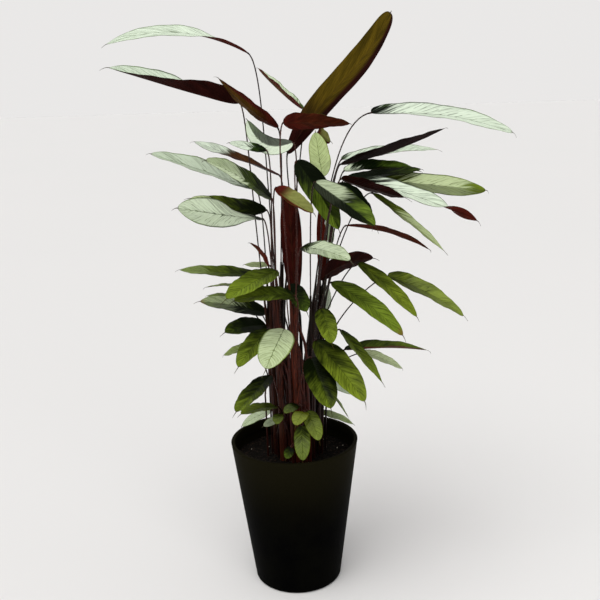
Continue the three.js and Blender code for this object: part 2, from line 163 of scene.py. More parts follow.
class Value:
    """A number that changes over a surface: the output socket of a node, with Python's operators."""

    def __init__(self, finish, socket):
        self.finish, self.socket = finish, socket

    def sum(self, operation, *values):
        return self.finish.node("ShaderNodeMath", {"operation": operation}, *values)

    __add__ = __radd__ = operator("ADD")
    __mul__ = __rmul__ = operator("MULTIPLY")
    __sub__, __pow__, __abs__, sign = map(operator, ("SUBTRACT", "POWER", "ABSOLUTE", "SIGN"))

    def __rsub__(self, other):
        return self.sum("SUBTRACT", other, self)

    def wave(self):
        """The sine of the value in turns, raised to lie between 0 and 1."""
        return self.sum("SINE", self * math.tau) * 0.5 + 0.5

    def rise(self, low, high):
        """A smooth step from 0 at low to 1 at high, which may be values too."""
        settings = {"interpolation_type": "SMOOTHSTEP"}
        return self.finish.node("ShaderNodeMapRange", settings, Value=self, From_Min=low, From_Max=high)


class Finish:
    """A material and the nodes behind its one shader."""

    def __init__(self, name, **constants):
        self.material = bpy.data.materials.new(name)
        self.material.use_nodes = True
        self.tree = self.material.node_tree
        self.shader = self.tree.nodes["Principled BSDF"]
        for key, value in constants.items():
            self.shader.inputs[key.replace("_", " ")].default_value = value

    def put(self, socket, value):
        if isinstance(value, Value):
            self.tree.links.new(value.socket, socket)
        elif hasattr(socket.default_value, "__len__") and len(socket.default_value) == 4 and len(value) == 3:
            socket.default_value = (*value, 1)
        else:
            socket.default_value = value

    def node(self, kind, settings=None, *values, output=0, **named):
        """A new node: its settings first, then its inputs by place or by name. Returns one of its
        outputs."""
        made = self.tree.nodes.new(kind)
        for key, value in (settings or {}).items():
            setattr(made, key, value)
        for place, value in enumerate(values):
            self.put(made.inputs[place], value)
        for key, value in named.items():
            self.put(made.inputs[key.replace("_", " ")], value)
        return Value(self, made.outputs[output])

    def parts(self, vector):
        made = self.tree.nodes.new("ShaderNodeSeparateXYZ")
        self.put(made.inputs[0], vector)
        return [Value(self, socket) for socket in made.outputs]

    def carried(self, name):
        """The three numbers that the mesh's points carry under a name."""
        return self.parts(self.node("ShaderNodeAttribute", {"attribute_name": name}, output="Vector"))

    def vector(self, x, y, z):
        return self.node("ShaderNodeCombineXYZ", None, x, y, z)

    def noise(self, at, scale=1, detail=2, roughness=0.5):
        """Soft noise, mostly between 0.3 and 0.7, at a vector."""
        return self.node("ShaderNodeTexNoise", None, Vector=at, Scale=scale, Detail=detail, Roughness=roughness)

    def blend(self, share, first, second):
        """The first colour, turning into the second one by the share."""
        made = self.tree.nodes.new("ShaderNodeMix")
        made.data_type = "RGBA"
        for place, value in ((0, share), (6, first), (7, second)):
            self.put(made.inputs[place], value)
        return Value(self, made.outputs[2])

    def dim(self, colour, amount):
        """The colour times a number."""
        return self.node("ShaderNodeVectorMath", {"operation": "SCALE"}, Vector=colour, Scale=amount)

    def place(self):
        return self.node("ShaderNodeTexCoord", None, output="Object")

    def shade(self, colour, roughness, height=None, distance=0.0003, strength=1.0):
        """Feeds the shader's colour and roughness, and its normal from a height."""
        self.put(self.shader.inputs["Base Color"], colour)
        self.put(self.shader.inputs["Roughness"], roughness)
        if height is not None:
            bump = self.node("ShaderNodeBump", None, Height=height, Distance=distance, Strength=strength)
            self.put(self.shader.inputs["Normal"], bump)
        return self.material


def seen(red, green, blue):
    """A colour as a screen shows it, 0 to 255, as the amounts of light that a shader works with."""
    share = np.array([red, green, blue]) / 255
    return tuple(np.where(share < 0.04045, share / 12.92, ((share + 0.055) / 1.055) ** 2.4).tolist())


# %% [markdown]
# ## Pot
# The real pot is moulded in one piece of black plastic: a tapered wall with a soft bottom edge and a flat
# lip. A profile turned round the axis gives exactly that, so the pot is one closed skin of rings. Its faint
# orange peel from the mould belongs in the finish and not in the mesh. The drain holes are cut by a Boolean
# modifier, which is applied at once.

# %% Pot profile
POT_HEIGHT, RIM_RADIUS, FOOT_RADIUS = 281 * MM, 120 * MM, 82.5 * MM
POT_WALL, POT_FLOOR, FOOT_CORNER = 3 * MM, 4 * MM, 6 * MM
LIP_WIDTH, LIP_DEPTH, LIP_ROUND = 7 * MM, 20 * MM, 1.5 * MM
DRAIN_HOLES, DRAIN_RING, DRAIN_RADIUS = 8, 52 * MM, 6 * MM
FLOOR_MIDDLE = 10 * MM  # the profile ends at this radius, and the skin's own end triangles close the rest


def pot_radius(z):
    """The outer radius, which grows evenly from the foot to the rim."""
    return FOOT_RADIUS + (RIM_RADIUS - FOOT_RADIUS) * z / POT_HEIGHT


def arc(middle, radius, start, end, steps):
    """Points on part of a circle, as (radius, height) pairs: the middle plus radius (cos a, sin a)."""
    angle = np.radians(np.linspace(start, end, steps))
    return [(middle[0] + radius * c, middle[1] + radius * s) for c, s in zip(np.cos(angle), np.sin(angle))]


def turned(profile, around):
    """A profile of (radius, height) pairs turned round the Z axis: x = r cos a, y = r sin a."""
    radius, height = np.array(profile).T[:, :, None]
    angle = np.linspace(0, math.tau, around, endpoint=False)[None]
    return np.stack([radius * np.cos(angle), radius * np.sin(angle), height + 0 * angle], -1)


lip_top = POT_HEIGHT - LIP_ROUND
profile = [(FLOOR_MIDDLE, 0)]
profile += arc((pot_radius(FOOT_CORNER) - FOOT_CORNER, FOOT_CORNER), FOOT_CORNER, -90, 0, 7)
profile += [(pot_radius(z), z) for z in np.linspace(20 * MM, lip_top - 4 * MM, 8)]
profile += arc((RIM_RADIUS - LIP_ROUND, lip_top), LIP_ROUND, 0, 90, 5)
profile += arc((RIM_RADIUS - LIP_WIDTH + LIP_ROUND, lip_top), LIP_ROUND, 90, 180, 5)
profile += [(RIM_RADIUS - LIP_WIDTH - 1 * MM, POT_HEIGHT - LIP_DEPTH)]
profile += [(pot_radius(z) - POT_WALL, z) for z in (POT_HEIGHT - LIP_DEPTH - POT_WALL, POT_FLOOR)]
profile += [(FLOOR_MIDDLE, POT_FLOOR)]
print("pot profile of", len(profile), "points")

# %% Pot finish and piece
pot_finish = Finish("black_pot_plastic", Specular_IOR_Level=0.012)
at = pot_finish.place()
peel = pot_finish.noise(at, scale=420, detail=3)
cloud = pot_finish.noise(at, scale=14, detail=4, roughness=0.6)
pot_colour = pot_finish.blend(cloud.rise(0.35, 0.7), seen(1, 1, 1), seen(5, 5, 3))
# Painted sheen: the black plastic is made lighter and browner towards the top of the pot.
_, _, height = pot_finish.parts(at)
pot_colour = pot_finish.blend(height.rise(0.12, 0.29), pot_colour, seen(22, 20, 9))
pot_finish.shade(pot_colour, cloud * 0.2 + 0.5, peel, distance=0.0004, strength=0.6)

pot_batch = Batch()
pot_batch.add(*skin(turned(profile, 144)))
pot = pot_batch.piece("pot_body", "pot_plastic", [pot_finish.material], ["pot"], sharp=40)

drill_batch = Batch()
for step in range(DRAIN_HOLES):
    angle = math.tau * (step + 0.5) / DRAIN_HOLES
    drill = turned([(DRAIN_RADIUS, -5 * MM), (DRAIN_RADIUS, 9 * MM)], 24)
    drill_batch.add(*skin(drill + [DRAIN_RING * math.cos(angle), DRAIN_RING * math.sin(angle), 0]))
drill = drill_batch.piece("drain_drill", "pot_plastic", [pot_finish.material], [])
cut = pot.modifiers.new("drain", "BOOLEAN")
cut.operation, cut.object, cut.solver = "DIFFERENCE", drill, "EXACT"
bpy.context.view_layer.objects.active = pot
bpy.ops.object.modifier_apply(modifier="drain")
bpy.data.objects.remove(drill)
print("pot with", len(pot.data.polygons), "faces")

# %% [markdown]
# ## Soil
# Potting mix is a bed of fine dark crumbs with a few bits of bark and pale perlite. Modelling every crumb
# would cost far too many faces, so the bed is one rough skin, and only the crumbs that catch light on top
# are small lumps of twenty faces each. Their places are drawn from a seeded random generator.

# %% Soil bed
SOIL_TOP, SOIL_HEAP, SOIL_GAP = 246 * MM, 5 * MM, 0.35 * MM
SOIL_ROUGHNESS, SOIL_ROUGHEST = 0.7 * MM, 1.6 * MM
random = np.random.default_rng(11)


def soil_height(x, y):
    """The heaped top of the bed with a few slow waves, for places in metres."""
    share = np.hypot(x, y) / (pot_radius(SOIL_TOP) - POT_WALL)
    waves = np.sin(x * 210 + 1) * np.cos(y * 170) + 0.6 * np.sin(x * 470 + y * 390)
    return SOIL_TOP + SOIL_HEAP * (1 - share) + 0.8 * MM * waves * (share < 0.97)


def soil_rings():
    """Rings of the bed: up the inside of the pot, then inwards over the top with fine random lumps."""
    angle = np.linspace(0, math.tau, 120, endpoint=False)[None]
    z = np.linspace(POT_FLOOR + SOIL_GAP, SOIL_TOP, 5)[:, None]
    radius = pot_radius(z) - POT_WALL - SOIL_GAP + 0 * angle
    side = np.stack([radius * np.cos(angle), radius * np.sin(angle), z + 0 * angle], -1)
    reach = radius[-1:] * np.linspace(0.985, 0.02, 46)[:, None]
    x, y = reach * np.cos(angle), reach * np.sin(angle)
    rough = random.normal(0, SOIL_ROUGHNESS, x.shape).clip(-SOIL_ROUGHEST, SOIL_ROUGHEST)
    return np.concatenate([side, np.stack([x, y, soil_height(x, y) + rough], -1)])


soil_finish = Finish("potting_mix", Specular_IOR_Level=0.1)
at = soil_finish.place()
grain = soil_finish.noise(at, scale=900, detail=4, roughness=0.7)
patch = soil_finish.noise(at, scale=60, detail=3)
soil_colour = soil_finish.blend(grain.rise(0.4, 0.68), seen(5, 4, 3), seen(26, 20, 13))
soil_colour = soil_finish.blend(patch.rise(0.5, 0.7) * 0.5, soil_colour, seen(12, 9, 7))
soil_finish.shade(soil_colour, grain * 0.2 + 0.8, grain, distance=0.0012)
soil_batch = Batch()
soil_batch.add(*skin(soil_rings()))
soil_batch.piece("soil_bed", "soil", [soil_finish.material], ["soil"])

# %% Crumbs, bark and perlite
GOLD = (1 + 5**0.5) / 2
LUMP = unit(np.array([
    [-1, GOLD, 0], [1, GOLD, 0], [-1, -GOLD, 0], [1, -GOLD, 0], [0, -1, GOLD], [0, 1, GOLD],
    [0, -1, -GOLD], [0, 1, -GOLD], [GOLD, 0, -1], [GOLD, 0, 1], [-GOLD, 0, -1], [-GOLD, 0, 1],
]))
LUMP_FACES = np.array([
    [0, 11, 5], [0, 5, 1], [0, 1, 7], [0, 7, 10], [0, 10, 11], [1, 5, 9], [5, 11, 4],
    [11, 10, 2], [10, 7, 6], [7, 1, 8], [3, 9, 4], [3, 4, 2], [3, 2, 6], [3, 6, 8],
    [3, 8, 9], [4, 9, 5], [2, 4, 11], [6, 2, 10], [8, 6, 7], [9, 8, 1],
])


def lumps(count, size, flat):
    """Small lumps that lie on the soil: icosahedra with their corners moved, stretched and turned about
    Z."""
    reach = (pot_radius(SOIL_TOP) - POT_WALL - 4 * MM) * np.sqrt(random.uniform(0, 1, count))
    angle = random.uniform(0, math.tau, count)
    x, y = reach * np.cos(angle), reach * np.sin(angle)
    sizes = size * random.uniform(0.5, 1.3, (count, 1, 1))
    stretch = random.uniform([0.7, 0.5, flat], [1.3, 1, flat + 0.3], (count, 1, 3))
    shapes = LUMP[None] * random.uniform(0.8, 1.15, (count, 12, 1)) * sizes * stretch
    turn = random.uniform(0, math.tau, count)[:, None]
    across = shapes[..., 0] * np.cos(turn) - shapes[..., 1] * np.sin(turn)
    along = shapes[..., 0] * np.sin(turn) + shapes[..., 1] * np.cos(turn)
    centre = np.stack([x, y, soil_height(x, y) + 0.25 * size], -1)[:, None]
    points = np.stack([across, along, shapes[..., 2]], -1) + centre
    return points.reshape(-1, 3), [(LUMP_FACES[None] + 12 * np.arange(count)[:, None, None]).reshape(-1, 3)]


def speckled(name, scale, mix, dark, pale, roughness, **constants):
    """A finish of two colours that mix in fine grain, between the two amounts of it in mix. The grain
    roughens the surface too."""
    finish = Finish(name, **constants)
    grain = finish.noise(finish.place(), scale=scale, detail=3)
    return finish.shade(finish.blend(grain.rise(*mix), dark, pale), grain * 0.2 + roughness, grain)


bark = speckled("bark_crumbs", 500, (0.3, 0.7), seen(13, 10, 7), seen(48, 34, 22), 0.75, Specular_IOR_Level=0.2)
perlite = speckled("perlite", 700, (0.35, 0.65), seen(150, 140, 122), seen(216, 209, 192), 0.7)
crumb_batch = Batch()
crumb_batch.add(*lumps(900, 1.7 * MM, 0.4))
crumb_batch.add(*lumps(150, 3 * MM, 0.25))
crumb_batch.add(*lumps(26, 1.5 * MM, 0.6), finish=1)
crumb_batch.piece("soil_crumbs", "soil", [bark, perlite], [], sharp=25)
print("soil bed and", crumb_batch.total // 12, "crumbs")

# %% [markdown]
# ## What each blade is
# Every blade has its row here: its shoot, where it starts and ends in millimetres, its width, how far it
# arches, how much its two halves are folded up, and which way its upper face looks. A second table gives
# what age and light have done to it. Reading the photo leaf by leaf gives a truer plant than scattering
# copies of one leaf, because the eye knows the big leaves by their places.

# %% Blades
BLADES = [
    ["top_left_1", "back", [-60, 80, 990], [-320, 110, 1015], 34, 30, 15, [0, 0.4, 1], [0, -0.9, 1]],
    ["top_left_2", "left", [-75, 10, 905], [-275, -95, 965], 62, 4, 42, [0, 0.45, 1], [0, -0.8, 1]],
    ["top_left_3", "back", [-10, -5, 860], [-105, -45, 945], 38, -4, 12, [0.5, 0.6, 0.6], [0.5, 0.5, 0.7]],
    ["top_left_4", "front", [15, -20, 835], [-60, -45, 875], 32, -23, 0, [0, -1, 0.5], [0.3, -1, 0.2]],
    ["top_middle_1", "back", [35, 50, 890], [-45, 130, 965], 40, 0, 30, [0.7, -0.2, 0.7]],
    ["top_middle_2", "middle", [5, 0, 815], [200, 115, 1055], 50, -2, 10, [-0.3, 0.9, 0.2]],
    ["top_middle_3", "front", [0, -60, 870], [110, -75, 865], 36, 2, 10, [0, 0.8, 0.5], [0, 0.6, 0.8]],
    ["top_middle_4", "front_right", [65, -25, 775], [55, -5, 850], 38, 0, 12, [0.2, -0.9, 0.3]],
    ["left_1", "left", [-55, 45, 750], [-240, 35, 820], 54, 5, 22, [0.1, -0.45, 1]],
    ["left_2", "front_left", [-25, -20, 740], [-125, -120, 815], 54, 7, 12, [0.2, -0.6, 0.8]],
    ["left_3", "back", [-10, 20, 775], [-170, 120, 835], 42, 3, 10, [0.2, 0.15, 1], [0, -0.4, 1]],
    ["left_4", "front_left", [-40, -60, 710], [-170, -160, 745], 54, -1, 8, [0, -0.2, 1], [0, -1, 0.5]],
    ["left_5", "left", [-35, -20, 720], [-165, -30, 745], 44, -4, 15, [0, -0.6, 0.8]],
    ["top_right_1", "back_right", [155, 25, 880], [425, 100, 835], 53, 16, 20, [0, -0.4, 1], [0.2, -0.9, 1]],
    ["top_right_2", "right", [100, 50, 790], [305, 135, 845], 54, -5, 15, [-0.3, 0.4, 0.9]],
    ["top_right_3", "back_right", [105, 100, 795], [305, 225, 800], 44, 7, 20, [0, -0.35, 1]],
    ["right_1", "right", [105, 25, 780], [250, 80, 770], 44, 10, 15, [0, -0.4, 1]],
    ["right_2", "right", [105, -10, 770], [240, 5, 780], 36, 0, 10, [0, 0.5, 0.8]],
    ["right_3", "right", [120, 35, 770], [375, 90, 730], 53, 0, 12, [0, -0.3, 1], [0.1, -0.9, 0.6]],
    ["right_4", "right", [110, -35, 775], [320, -90, 700], 48, 7, 12, [0.1, -0.45, 1], [0.3, 0.6, 0.6]],
    ["right_5", "front_right", [95, -70, 775], [195, -110, 745], 46, 0, 10, [0, 0.5, 0.8]],
    ["right_6", "right", [155, 10, 740], [275, -35, 640], 34, 3, 15, [0.5, -0.35, 0.7]],
    ["right_7", "right", [105, 0, 685], [270, 85, 620], 27, 11, 20, [-0.2, 0.3, 0.9], [-0.2, 0.2, 0.9]],
    ["heart_1", "front_right", [50, -110, 775], [140, -180, 710], 50, 3, 15, [0.3, -0.7, 0.7]],
    ["heart_2", "front_right", [90, -90, 770], [140, -120, 705], 44, 3, 15, [0.3, -0.5, 0.8]],
    ["heart_3", "front", [20, -45, 805], [90, -40, 685], 46, 5, 12, [-0.2, -0.8, 0.5], [0.2, -0.8, 0.5]],
    ["heart_4", "front_left", [-15, -80, 765], [45, -115, 725], 34, 0, 25, [0.2, -0.6, 0.7]],
    ["heart_5", "middle", [10, -15, 560], [5, -20, 750], 38, 0, 12, [0, 1, 0]],
    ["heart_7", "front", [25, -95, 665], [100, -175, 655], 40, 6, 12, [0, -0.5, 0.8]],
    ["right_9", "front_right", [125, -20, 620], [220, -85, 535], 35, 6, 12, [0.5, -0.7, 0.6]],
    ["right_10", "right", [180, 0, 590], [335, 80, 490], 51, 9, 15, [0.3, -0.5, 0.8]],
    ["right_11", "front_right", [75, -60, 595], [190, -130, 515], 42, 9, 12, [0.4, -0.7, 0.7]],
    ["low_right_1", "front_right", [90, -30, 500], [160, -80, 415], 34, 3, 15, [0.6, -0.4, 0.7]],
    ["low_right_2", "right", [100, 10, 450], [270, 100, 415], 42, 9, 30, [0, -0.1, 1]],
    ["low_right_3", "front_right", [45, -75, 495], [120, -185, 420], 52, 5, 12, [0.3, -0.8, 0.6]],
    ["low_right_4", "front_right", [55, -85, 555], [70, -130, 505], 36, 3, 10, [0.2, -0.8, 0.5]],
    ["low_right_5", "front", [35, -80, 465], [65, -160, 400], 52, 3, 12, [0.2, -0.8, 0.5]],
    ["low_right_6", "back_right", [135, 35, 435], [220, 115, 375], 28, 4, 12, [0.3, -0.5, 0.8]],
    ["low_left_1", "front_left", [-20, -65, 620], [-100, -160, 595], 48, 4, 12, [-0.3, -0.7, 0.6]],
    ["low_left_2", "left", [-60, 20, 595], [-210, 95, 595], 40, 2, 12, [0, -0.35, 1]],
    ["low_left_3", "front", [10, -90, 580], [-90, -135, 585], 44, 7, 12, [0, -0.4, 0.9]],
    ["low_left_4", "left", [-45, 30, 520], [-165, 15, 550], 44, 5, 12, [0, -0.5, 0.9]],
    ["low_left_5", "left", [-45, 0, 505], [-115, -60, 510], 42, 5, 12, [0, -0.6, 0.8]],
    ["low_left_6", "front_left", [-40, -45, 510], [-90, -120, 465], 42, 4, 12, [-0.3, -0.7, 0.6]],
    ["low_left_7", "front_left", [-10, -85, 520], [-40, -180, 480], 57, 3, 8, [-0.1, -0.9, 0.5]],
    ["low_left_8", "front_left", [-40, -50, 425], [-95, -150, 395], 43, 1, 12, [-0.4, -0.7, 0.6]],
    ["low_left_9", "front_left", [-30, -50, 365], [-90, -110, 375], 34, 4, 12, [0, -0.2, 1]],
]

# %% Young blades, which grow on their shoot as one body
YOUNG_BLADES = [
    ["heart_6", "right", [65, 20, 575], [60, 15, 715], 20, 0, 10, [0, 1, 0]],
    ["right_8", "right", [55, -10, 590], [155, 20, 620], 44, 11, 12, [-0.2, 0.9, 0.6]],
    ["top_left_5", "front_left", [-30, -45, 825], [-90, -70, 840], 18, 0, 10, [0, -0.8, 0.6]],
    ["top_middle_5", "right", [60, 20, 850], [80, -15, 835], 25, 0, 10, [0.5, 0.8, 0.3]],
    ["heart_8", "back_right", [80, 45, 645], [75, 40, 700], 16, 0, 8, [0, -1, 0]],
    ["heart_9", "front", [0, -50, 590], [30, -65, 545], 34, 3, 10, [0.2, -0.8, 0.5]],
    ["heart_10", "back_right", [70, 40, 520], [70, 45, 565], 16, 0, 8, [0, -1, 0.1]],
    ["low_right_7", "front_right", [65, -30, 410], [115, -50, 385], 30, 3, 8, [0.2, -0.9, 0.5]],
    ["low_right_8", "right", [60, 0, 385], [105, 20, 310], 24, 2, 12, [0.8, 0, 0.5]],
    ["low_right_9", "back_right", [45, 30, 320], [115, 50, 285], 20, 4, 12, [0.1, -0.4, 0.9]],
    ["low_front_1", "front", [20, -70, 360], [5, -120, 355], 28, 4, 8, [0, -0.4, 0.9]],
    ["low_front_2", "front", [25, -65, 360], [45, -95, 315], 30, 3, 10, [0.2, -0.9, 0.3]],
    ["low_front_3", "front", [15, -70, 335], [15, -90, 275], 30, 3, 12, [0, -1, 0.2]],
    ["low_front_4", "front", [-5, -75, 295], [-15, -90, 280], 18, 0, 8, [0, -0.9, 0.4]],
    ["low_front_5", "front", [10, -60, 370], [-15, -85, 365], 22, 2, 8, [0, -0.4, 0.9]],
    ["low_left_10", "front_left", [-25, -50, 350], [-30, -75, 340], 20, 2, 8, [0, -0.6, 0.8]],
    ["low_left_11", "left", [-40, 10, 335], [-100, 20, 300], 22, 3, 8, [0, -0.6, 0.8]],
    ["low_left_12", "left", [-30, -20, 330], [-55, -45, 325], 16, 0, 8, [0, -0.8, 0.6]],
    ["low_left_13", "left", [-75, 20, 460], [-130, 50, 435], 30, 2, 10, [0, -0.4, 0.9]],
    ["low_left_14", "back", [-95, 50, 545], [-160, 80, 545], 26, 3, 10, [0, -0.1, 1]],
    ["low_left_15", "back", [-95, 70, 565], [-165, 110, 555], 26, 3, 10, [0, 0, 1]],
    ["low_left_16", "left", [-35, 10, 615], [-80, 25, 615], 16, 0, 8, [0, -0.5, 0.9]],
    ["low_left_17", "front_left", [-35, -25, 620], [-65, -40, 665], 24, 4, 12, [0.5, -0.3, 0.8], [0, -0.3, 1]],
]

# %% Blades that are broadest elsewhere, taper otherwise, sway, twist, or hang on a longer crook
WIDEST = {
    "top_left_1": 0.5, "top_left_2": 0.2, "top_middle_2": 0.5, "top_middle_3": 0.25, "left_4": 0.5,
    "top_right_1": 0.16, "heart_5": 0.6,
}
TAPERS = {
    "top_left_1": 0.75, "top_left_2": 0.8, "top_left_3": 1, "top_middle_2": 0.36, "top_right_1": 0.5,
    "top_right_2": 1, "right_6": 0.8, "right_7": 1, "low_right_1": 1, "low_right_2": 1,
}
SWAYS = {"top_middle_2": 6}
TWISTS = {"top_left_1": (0, 0.6), "right_4": (0.6, 0.95), "left_4": (0.1, 0.7)}
CROOKS = {"top_left_1": 35, "top_right_1": 75, "right_6": 30}

# Blades that lie turned over: their underside shows from above, up to where the two faces change places, as
# shares of the length. Past the tip they never do.
TURNED = {"heart_4": (1.1, 1.2), "right_2": (1.1, 1.2), "low_left_17": (1.1, 1.2), "left_3": (0.55, 0.7)}

# Blades with one half in more light than the other, which is painted into their colour: the sign tells the
# half, and the size how much. The silver on the lighter half of heart_1 stands in part for a painted sheen.
LEANING = {
    "top_left_4": -0.85, "heart_1": -0.9, "heart_3": 0.9, "heart_7": -0.2, "left_2": -0.3, "left_4": 0.15,
    "right_1": -0.4, "right_3": -0.5, "right_6": -0.3, "right_10": -0.3, "low_right_1": 0.3,
    "low_right_3": 0.25, "low_right_5": 0.4, "low_left_1": -0.25, "low_left_4": 0.4,
}

# %% Looks of single blades
# Six numbers for each blade, in the order of the numbers in the blades' names: how silver it is, at which
# share of its length the silver starts, how far its green has yellowed and how dark it is, and how olive its
# wine-red underside is and how bright. The darkness of the green on blades deep in the plant, and of the
# darkest wine red below, is partly painted shade.
LOOKS_BY_PLACE = {
    "top_left": [
        (1, -0.1, 0, 0.5, 0, 0.4), (1, 0.05, 0, 0.7, 0, 0.1), (0.4, 0.5, 0.2, 0.6, 0.5, 0.3),
        (1, -0.1, 0.1, 0.9, 0, 0.3), (1, 0.4, 0, 0.7, 0, 0.3),
    ],
    "top_middle": [
        (0.9, 0.1, 0.2, 0.3, 0.7, 0.6), (0.5, 0.2, 0.3, 0.5, 1, 0.1), (0.6, 0.5, 0.2, 0.5, 0.1, 0.35),
        (0.85, -0.1, 0.7, 0.2, 0, 0.6), (0.2, 0.5, 0.8, 0.3, 0.8, 0.4),
    ],
    "left": [
        (0.85, 0.08, 0.05, 0.5, 0, 0.3), (0.85, 0.42, 0.35, 0.62, 0, 0.3), (1, 0.56, 0, 1, 0.3, 0.25),
        (0.85, 0.1, 0.2, 0.8, 0, 0.3), (1, 0.74, 0.6, 0.8, 0.2, 0.3),
    ],
    "top_right": [
        (1, 0.08, 0, 0.7, 0, 0.3), (0.3, 0.5, 0, 0.8, 0, 0.04), (1, 0, 0, 0.5, 0.3, 0.5),
    ],
    "right": [
        (0.85, -0.1, 0.2, 0.95, 0, 0.2), (0, 0.5, 0.3, 1.1, 0.1, 0.2), (0.7, 0.36, 0.6, 0.8, 0, 0.3),
        (1, 0.2, 0.05, 0.8, 0, 0.45), (0, 0.5, 0, 1, 0, 0.1), (0.8, 0.35, 0.7, 0.5, 0.3, 0.4),
        (0.2, 0.5, 0.3, 0.6, 0.1, 0.35), (0, 0.5, 0.2, 1, 0, 0.1), (0, 0.3, 0.7, 0.5, 0.2, 0.3),
        (0.08, 0.2, 0.75, 0.4, 0.2, 0.3), (0, 0.2, 0.5, 0.42, 0.2, 0.3),
    ],
    "heart": [
        (0.36, -0.1, 0.4, 1.05, 0, 0.3), (0, 0.3, 0.1, 1.2, 0, 0.1), (0, 0, 0.4, 0.85, 0, 0.2),
        (0.3, 0.2, 0.8, 0.3, 1, 0.5), (0, 0.5, 0, 0.9, 0, 0.22), (0, 0.5, 0, 0.9, 0, 0.5),
        (0.8, 0.12, 0.3, 0.6, 0, 0.3), (0.9, -0.1, 0.4, 0.3, 0, 0.3), (0, 0.5, 0.3, 0.9, 0, 0.3),
        (1, -0.1, 0.1, 0.3, 0, 0.3),
    ],
    "low_right": [
        (0, 0.3, 0.6, 0.5, 0.1, 0.4), (0, 0.3, 0.5, 0.6, 0.3, 0.45), (0, 0.4, 0.7, 0.6, 0, 0.3),
        (0, 0.3, 0.65, 0.55, 0, 0.3), (0, 0.5, 0.6, 0.9, 0.1, 0.3), (0.9, -0.1, 0.6, 0.2, 0, 0.3),
        (0.8, -0.1, 0.1, 0.4, 0, 0.3), (0.1, 0.3, 0.4, 0.5, 0, 0.3), (0.4, 0.2, 0.5, 0.5, 0, 0.3),
    ],
    "low_left": [
        (0, 0.2, 0.6, 0.45, 0, 0.3), (0.15, 0.6, 0.5, 0.6, 0.2, 0.3), (0, 0.3, 0.55, 0.6, 0.3, 0.4),
        (0.35, 0.4, 0.5, 0.9, 0, 0.2), (0, 0.4, 0.4, 1.1, 0, 0.2), (0, 0.5, 0.6, 0.6, 0.1, 0.3),
        (0.85, -0.2, 0.5, 0.4, 0, 0.3), (0, 0.3, 0.6, 0.8, 0, 0.3), (0, 0.4, 0.55, 0.4, 0, 0.3),
        (0.1, 0.3, 0.6, 0.4, 0, 0.3), (0.8, 0, 0.3, 0.3, 0, 0.3), (0.8, 0, 0.3, 0.3, 0, 0.3),
        (0.2, 0.3, 0.6, 0.4, 0, 0.3), (0.2, 0.2, 0.5, 0.4, 0.2, 0.3), (0.2, 0.2, 0.6, 0.3, 0.4, 0.3),
        (0.8, 0, 0.6, 0.2, 0, 0.3), (0, 0.3, 0.5, 0.3, 0.1, 0.8),
    ],
    "low_front": [
        (0.2, 0.2, 0.9, 0.1, 0, 0.3), (0.1, 0.3, 0.7, 0.4, 0, 0.3), (0.1, 0.3, 0.6, 0.5, 0, 0.3),
        (0, 0.3, 0.3, 0.8, 0, 0.2), (0.1, 0.3, 0.5, 0.7, 0, 0.2),
    ],
}
LOOKS = {f"{place}_{n}": look for place, rows in LOOKS_BY_PLACE.items() for n, look in enumerate(rows, 1)}

# Blades whose silver ends before the tip, as a share of the length, and how dried some tips are.
SILVER_ENDS = {"right_1": 0.12, "right_3": 0.86, "heart_1": 0.42, "heart_3": 0.4}
PAST_TIP = 1.2
DRIED_TIPS = {
    "left_5": 0.2, "right_11": 0.7, "low_right_5": 0.1, "low_left_4": 0.6, "low_left_8": 0.2,
    "low_left_13": 0.3, "low_left_15": 0.3, "low_left_17": 0.9, "low_front_5": 0.3,
}
print(len(BLADES), "blades and", len(YOUNG_BLADES), "young ones, with", len(LOOKS), "looks")

# %% [markdown]
# ## The shape of a blade
# A calathea's blade is thin and nearly even in width, with a round base and a short tip that ends in a
# hair-like point. It hangs on its midrib, which is an arch, and its two halves fold up from it like a
# shallow boat. So the surface is a function of two parameters: how far along the midrib, and how far across.
# A plane bent by modifiers would need a rig for each leaf, while arrays take every leaf through the same few
# lines.

# %% Midrib and outline
BLADE_THICKNESS = 0.5 * MM
BASE_WIDTH, TIP_WIDTH, DRIP_TIP, BLUNTNESS, FOLD_FROM = 2.2 * MM, 1.6 * MM, 0.17, 2.4, 6 * MM
WAVE, FINE_WAVE, RIB_WIDTH, RIB_SINKS, RIB_STANDS = 1.1 * MM, 0.4 * MM, 0.9 * MM, 0.35 * MM, 0.8 * MM
DRIP_HALVES = np.array([0.65, 0.5, 0.4, 0.2]) * MM  # half the width of the tip's hair-like point


def midrib(row, t):
    """Points and directions of the midrib, in metres: the chord, raised in the upright plane by 4 arch t (1
    - t) + sway sin(2 pi t)."""
    base, tip, arch, sway = np.array(row[2]), np.array(row[3]), row[5], SWAYS.get(row[0], 0)
    chord = tip - base
    along = unit(chord)
    rise = unit(np.array([0, 0, 1]) - along[2] * along)
    points = base + chord * t + rise * (4 * arch * t * (1 - t) + sway * np.sin(math.tau * t))
    slope = chord + rise * (4 * arch * (1 - 2 * t) + math.tau * sway * np.cos(math.tau * t))
    return points * MM, unit(slope)


def outline(name, t):
    """The share of its full width that a blade has: a quarter circle at the base, then (1 - u^2.4)^taper to
    the tip, where the taper is 0.62 for most blades, which makes a round end."""
    widest, taper = WIDEST.get(name, 0.38), TAPERS.get(name, 0.62)
    base = np.sqrt(np.clip(1 - (1 - np.minimum(t / widest, 1)) ** 2, 0, 1))
    return base * (1 - np.clip((t - widest) / (1 - widest), 0, 1) ** BLUNTNESS) ** taper


